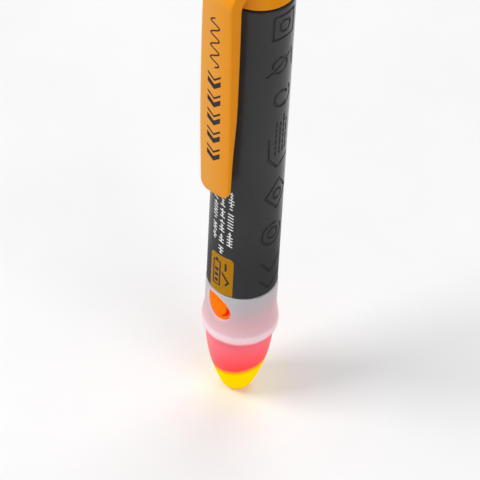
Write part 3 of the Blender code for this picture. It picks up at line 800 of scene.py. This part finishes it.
def make_clip_print(material):
    """A fine wave, then a row of bold arrowheads that point to the tip."""
    lift = 0.015 * MM
    low, high, middle = 113.6 * MM, 128.2 * MM, -0.3 * MM
    heights = np.linspace(low, high, 120)
    wave = [(middle + 1.2 * MM * math.sin((z - low) / (high - low) * 8 * math.pi), z)
            for z in heights]
    shapes = [ribbon(wave, 0.42 * MM, on_clip, lift)]
    reach, fall = 1.9 * MM, 1.7 * MM
    for i in range(5):
        tip = (84.6 + 5.6 * i) * MM
        for up, thick in ((0, 1.55 * MM), (2.5 * MM, 0.65 * MM)):
            shapes.append(arrowhead(middle, tip + up, reach, fall, thick, on_clip, lift))
    return printed("clip_print", shapes, material)


# ---------------------------------------------------------------- cap and clip

def block(name, low, high):
    """A box between two corners."""
    low, high = Vector(low), Vector(high)
    shape = bmesh.new()
    bmesh.ops.create_cube(shape, size=1)
    bmesh.ops.transform(shape, verts=shape.verts, matrix=Matrix.Translation((low + high) / 2)
                        @ Matrix.Diagonal((*(high - low), 1)))
    mesh = bpy.data.meshes.new(name)
    shape.to_mesh(mesh)
    shape.free()
    return mesh


def make_cap(material):
    """A hollow cap with a domed end, a skirt inside the barrel and a pocket for the clip."""
    spread = BARREL_RADIUS - CAP_TAPER - CAP_END_RADIUS
    rise = CAP_TOP - CAP_ROUND_Z
    dome = [(CAP_END_RADIUS + spread * math.sin(a), CAP_ROUND_Z + rise * math.cos(a))
            for a in (math.pi / 2 * i / 20 for i in range(21))]
    side = [(BARREL_RADIUS - CAP_TAPER * (z - CAP_BOTTOM) / (CAP_ROUND_Z - CAP_BOTTOM), z)
            for z in np.linspace(CAP_ROUND_Z, CAP_BOTTOM + EDGE, 12)[1:]]
    foot = arc((BARREL_RADIUS - EDGE, CAP_BOTTOM + EDGE), EDGE, 0, -math.pi / 2, 5)
    skirt = BARREL_BORE - SEAM
    profile = [(0, CAP_TOP), (CAP_END_RADIUS * 0.7, CAP_TOP)] + dome + side + foot[1:]
    profile += [(skirt, CAP_BOTTOM), (skirt, CAP_SKIRT_Z + EDGE), (skirt - EDGE, CAP_SKIRT_Z),
                (CAP_BORE, CAP_SKIRT_Z), (CAP_BORE, CAP_CEILING), (0, CAP_CEILING)]
    cap = lathe("cap", profile, full_turn(2.5), material)
    half = CLIP_ROOT_HALF + CLIP_ROOT_GAP
    pocket = block("pocket", (-half, -10 * MM, CLIP_UNDER_Z - CLIP_ROOT_GAP),
                   (half, -CLIP_ROOT_REACH + CLIP_ROOT_GAP, CLIP_TOP + CLIP_ROOT_GAP))
    cut(cap, link("pocket", pocket, material))
    smooth(cap.data, 30)
    return cap


def clip_ring(outer, inner, half):
    """A round-cornered band across the clip, between a point on each face, as (reach, z)."""
    outer, inner = np.array(outer), np.array(inner)
    thick = np.linalg.norm(outer - inner)
    ahead = (outer - inner) / thick
    corner, steps = min(CLIP_EDGE, half * 0.98, thick * 0.48), 6
    ring = []
    for x, t, start in ((half - corner, thick - corner, 0), (-half + corner, thick - corner, 1),
                        (-half + corner, corner, 2), (half - corner, corner, 3)):
        for x, t in arc((x, t), corner, start * math.pi / 2, (start + 1) * math.pi / 2, steps):
            reach, z = inner + ahead * t
            ring.append((x, -reach, z))
    return ring


def clip_rings():
    """Bands of the strap, from its rounded end, up its face and over the bend to its root."""
    rings = []
    straight_top = CLIP_UNDER_Z - CLIP_UNDER_BEND
    end_top = CLIP_END_Z + CLIP_END_RISE
    most_thin, thin_rise = 0.42 * MM, 0.9 * MM
    for a in np.linspace(0.12, math.pi / 2, 20):
        z = end_top - CLIP_END_RISE * math.cos(a) ** (2 / CLIP_END_POWER)
        half = clip_half_width(end_top) * math.sin(a) ** (2 / CLIP_END_POWER)
        thin = most_thin * float(1 - smoothstep((z - CLIP_END_Z) / thin_rise)) ** 2
        rings.append(clip_ring((clip_reach(z) - thin, z), (clip_inner(z) + thin, z), half))
    for z in np.linspace(end_top + 0.8 * MM, straight_top, 56):
        rings.append(clip_ring((clip_reach(z), z), (clip_inner(z), z), clip_half_width(z)))
    outer = [(clip_reach(z), z) for z in np.linspace(straight_top, CLIP_BEND_Z, 5)[1:]]
    outer += arc((CLIP_REACH - CLIP_BEND, CLIP_BEND_Z), CLIP_BEND, 0, math.pi / 2, 20)[1:]
    under = arc((CLIP_INNER_REACH - CLIP_UNDER_BEND, straight_top), CLIP_UNDER_BEND,
                0, math.pi / 2, len(outer) + 1)[1:]
    outer += [(CLIP_ROOT_REACH + 0.7 * MM, CLIP_TOP), (CLIP_ROOT_REACH, CLIP_TOP)]
    under += [(CLIP_ROOT_REACH + 0.2 * MM, CLIP_UNDER_Z), (CLIP_ROOT_REACH, CLIP_UNDER_Z)]
    rings += [clip_ring(face, back, clip_half_width(face[1])) for face, back in zip(outer, under)]
    return rings


def pad_rings():
    """Bands of the rounded pad under the clip's end, which narrows towards the barrel."""
    (low, high), rings = CLIP_PAD_Z, []
    start = CLIP_END_INNER + 0.4 * MM
    for share in np.linspace(0.0, 1.0, 9):
        narrow = 1 - 0.35 * share ** 3
        reach = start - share * (start - CLIP_PAD_REACH)
        rings.append([(CLIP_PAD_HALF * narrow * math.copysign(abs(math.cos(a)) ** 0.6, math.cos(a)),
                       -reach, (low + high) / 2 + (high - low) / 2 * narrow
                       * math.copysign(abs(math.sin(a)) ** 0.6, math.sin(a)))
                      for a in np.linspace(0, 2 * math.pi, 40, endpoint=False)])
    return rings


def make_clip(material):
    """A strap with round edges and a bent shoulder, and the pad under its end."""
    strap = link("clip", loft("clip", clip_rings()), material)
    cut(strap, link("clip_rib", loft("clip_rib", pad_rings()), material), "UNION")
    smooth(strap.data, 45)
    return strap


# ---------------------------------------------------------------- cells

def cell_look():
    """A plain printed sleeve with a bright band at the positive end."""
    made, tree, shader = new_look("cell_sleeve")
    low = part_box("cell_front")[0].z
    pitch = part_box("cell_rear")[0].z - low
    along = calc(tree, "MODULO", calc(tree, "SUBTRACT", height_in(tree), low), pitch)
    share = remap(tree, along, 0, pitch)
    bands = ramp(tree, share, ((0.0, (0.6, 0.6, 0.58)), (0.045, (0.6, 0.6, 0.58)),
                               (0.05, (0.55, 0.56, 0.58)), (0.25, (0.55, 0.56, 0.58)),
                               (0.255, (0.02, 0.10, 0.20)), (0.97, (0.02, 0.10, 0.20)),
                               (0.975, (0.6, 0.6, 0.58))))
    scuffs = speckle(tree, 2 * MM, 6, 0.7, (1, 1, 0.3))
    tree.links.new(bands, shader.inputs["Base Color"])
    tree.links.new(between(tree, scuffs, 0.18, 0.42), shader.inputs["Roughness"])
    shader.inputs["Metallic"].default_value = 0.6
    return made


def make_cell(name, node, material):
    """A cell with a crimped sleeve at both ends and its button end towards the tip."""
    low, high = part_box(node)
    radius, bottom, top = high.x, low.z, high.z
    lip = 0.35 * MM
    profile = [(0, top - 0.1 * MM), (3.6 * MM, top - 0.1 * MM), (3.9 * MM, top - lip),
               (4.5 * MM, top - lip)]
    profile += arc((radius - lip, top - lip), lip, math.pi / 2, 0, 6)
    profile += arc((radius - lip, bottom + MM + lip), lip, 0, -math.pi / 2, 6)
    profile += [(4.4 * MM, bottom + MM + 0.15 * MM), (3.6 * MM, bottom + MM),
                (2.1 * MM, bottom + MM)]
    profile += arc((1.6 * MM, bottom + 0.3 * MM), 0.3 * MM, 0, -math.pi / 2, 5)
    profile += [(0, bottom)]
    return lathe(name, profile, full_turn(5), material)


# ---------------------------------------------------------------- inner pieces

def board_look():
    """Solder mask over copper tracks."""
    made, tree, shader = new_look("board_green")
    turned = put(tree, "Mapping", {"Vector": place_in(tree), "Rotation": (math.pi / 2, 0, 0)})
    bricks = put(tree, "TexBrick", {
        "Vector": turned.outputs[0], "Color1": (0.015, 0.13, 0.05, 1),
        "Color2": (0.02, 0.17, 0.06, 1), "Mortar": (0.04, 0.26, 0.10, 1), "Scale": 520.0,
        "Mortar Size": 0.02})
    tree.links.new(bricks.outputs[0], shader.inputs["Base Color"])
    tree.links.new(between(tree, speckle(tree, 0.8 * MM), 0.25, 0.45), shader.inputs["Roughness"])
    return made


def lens_look():
    """A clear red lens."""
    made, tree, shader = new_look("red_lens")
    tree.links.new(tinted(tree, speckle(tree, 0.8 * MM), (0.8, 0.03, 0.02), 0.2),
                   shader.inputs["Base Color"])
    shader.inputs["Roughness"].default_value = 0.1
    shader.inputs["Transmission Weight"].default_value = 0.5
    shader.inputs["Emission Color"].default_value = (1, 0.05, 0.02, 1)
    shader.inputs["Emission Strength"].default_value = 2
    return made


def dress_inner_pieces():
    """Gives each inner CAD piece its material."""
    tin = metal("tinned_steel", (0.62, 0.61, 0.58), 0.28)
    black = moulded("black_epoxy", (0.02, 0.02, 0.022), 0.55, 0.08 * MM, 0.3)
    looks = {
        "circuit_board": board_look(), "tip_led": lens_look(),
        "sensor_coil": metal("copper_wire", (0.75, 0.36, 0.2), 0.25, (1, 1, 1)),
        "chassis": moulded("chassis_plastic", (0.62, 0.60, 0.55), 0.45),
        "led_lead_1": tin, "led_lead_2": tin, "switch_stem": tin, "front_contact": tin,
        "return_strip": tin, "cap_contact": tin, "battery_spring": tin,
    }
    looks |= {f"capacitor_{i}": moulded("capacitor_tan", (0.42, 0.27, 0.15), 0.5)
              for i in (1, 2, 3)}
    for name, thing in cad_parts.items():
        if name in looks or name.startswith(("resistor", "controller", "amplifier", "sounder",
                                             "switch_body")):
            thing.data.materials.clear()
            thing.data.materials.append(looks.get(name, black))


# ---------------------------------------------------------------- studio

CAMERA_AZIMUTH = 37.3
CAMERA_ELEVATION = 43.64
CAMERA_ROLL = 3.09
CAMERA_DISTANCE = 0.7054
CAMERA_AIM = Vector((-0.8 * MM, -0.6 * MM, 49.8 * MM))
CAMERA_LENS = 217.5


def make_camera():
    """The camera, at the picture's angle."""
    back = towards(CAMERA_AZIMUTH, CAMERA_ELEVATION)
    camera = bpy.data.objects.new("camera", bpy.data.cameras.new("camera"))
    camera.data.lens = CAMERA_LENS
    camera.data.clip_start, camera.data.clip_end = 0.01, 20
    camera.location = CAMERA_AIM + back * CAMERA_DISTANCE
    upright = (-back).to_track_quat("-Z", "Y")
    roll = Matrix.Rotation(math.radians(CAMERA_ROLL), 4, "Z")
    camera.matrix_world = Matrix.Translation(camera.location) @ upright.to_matrix().to_4x4() @ roll
    bpy.context.scene.collection.objects.link(camera)
    bpy.context.scene.camera = camera


def make_light(name, azimuth, elevation, distance, size, power, colour=(1, 1, 1)):
    """A soft light that faces the middle of the pen."""
    back = towards(azimuth, elevation)
    lamp = bpy.data.objects.new(name, bpy.data.lights.new(name, "AREA"))
    lamp.data.shape = "RECTANGLE"
    lamp.data.size, lamp.data.size_y = size
    lamp.data.energy = power
    lamp.data.color = colour
    lamp.location = Vector((0, 0, 70 * MM)) + back * distance
    lamp.rotation_euler = (-back).to_track_quat("-Z", "Y").to_euler()
    bpy.context.scene.collection.objects.link(lamp)


def make_studio():
    """A pale floor, an even sky and three soft lights."""
    world = bpy.data.worlds.new("studio")
    bpy.context.scene.world = world
    world.use_nodes = True
    sky = world.node_tree.nodes["Background"]
    sky.inputs["Color"].default_value = (0.95, 0.97, 1.0, 1)
    sky.inputs["Strength"].default_value = 0.45
    make_light("key", -40, 50, 0.9, (0.36, 0.36), 4.5, (1, 0.98, 0.95))
    make_light("fill", 75, 45, 1.0, (0.5, 0.7), 2.4)
    make_light("back", 200, 40, 1.0, (0.8, 0.5), 3.0)
    made, tree, shader = new_look("pale_floor")
    cloud = speckle(tree, 60 * MM, 3)
    tree.links.new(tinted(tree, cloud, (0.86, 0.86, 0.86), 0.02), shader.inputs["Base Color"])
    shader.inputs["Roughness"].default_value = 0.65
    shape = bmesh.new()
    bmesh.ops.create_grid(shape, x_segments=8, y_segments=8, size=4)
    mesh = bpy.data.meshes.new("floor")
    shape.to_mesh(mesh)
    shape.free()
    floor = link("floor", mesh, made)
    floor.location.z = -0.1 * MM


# ---------------------------------------------------------------- the tester

def stand_for(thing, body, node):
    """Puts a piece on its body, in place of a CAD node unless it is only print."""
    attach(thing, body)
    if node:
        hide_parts(node)


bpy.context.scene.view_settings.view_transform = "Standard"

yellow = yellow_look()
cell = cell_look()
dark = ink("dark_ink", (0.026, 0.013, 0.014))

stand_for(make_nose(milky_look()), "case", "nose_shell")
stand_for(make_button(button_look()), "button", "check_button")
stand_for(make_barrel(grey_look()), "case", "barrel")
stand_for(make_cap(yellow), "cap", "rear_cap")
stand_for(make_clip(yellow), "clip", "pocket_clip")
stand_for(make_label(ink("label_ink", (0.44, 0.20, 0.004), 0.04)), "case", None)
stand_for(make_label_print(dark), "case", None)
stand_for(make_clip_print(dark), "clip", None)
stand_for(make_white_print(ink("white_ink", (0.80, 0.80, 0.82))), "case", None)
stand_for(make_cell("cell_1", "cell_front", cell), "cells", "cell_front")
stand_for(make_cell("cell_2", "cell_rear", cell), "cells", "cell_rear")
dress_inner_pieces()

make_studio()
make_camera()
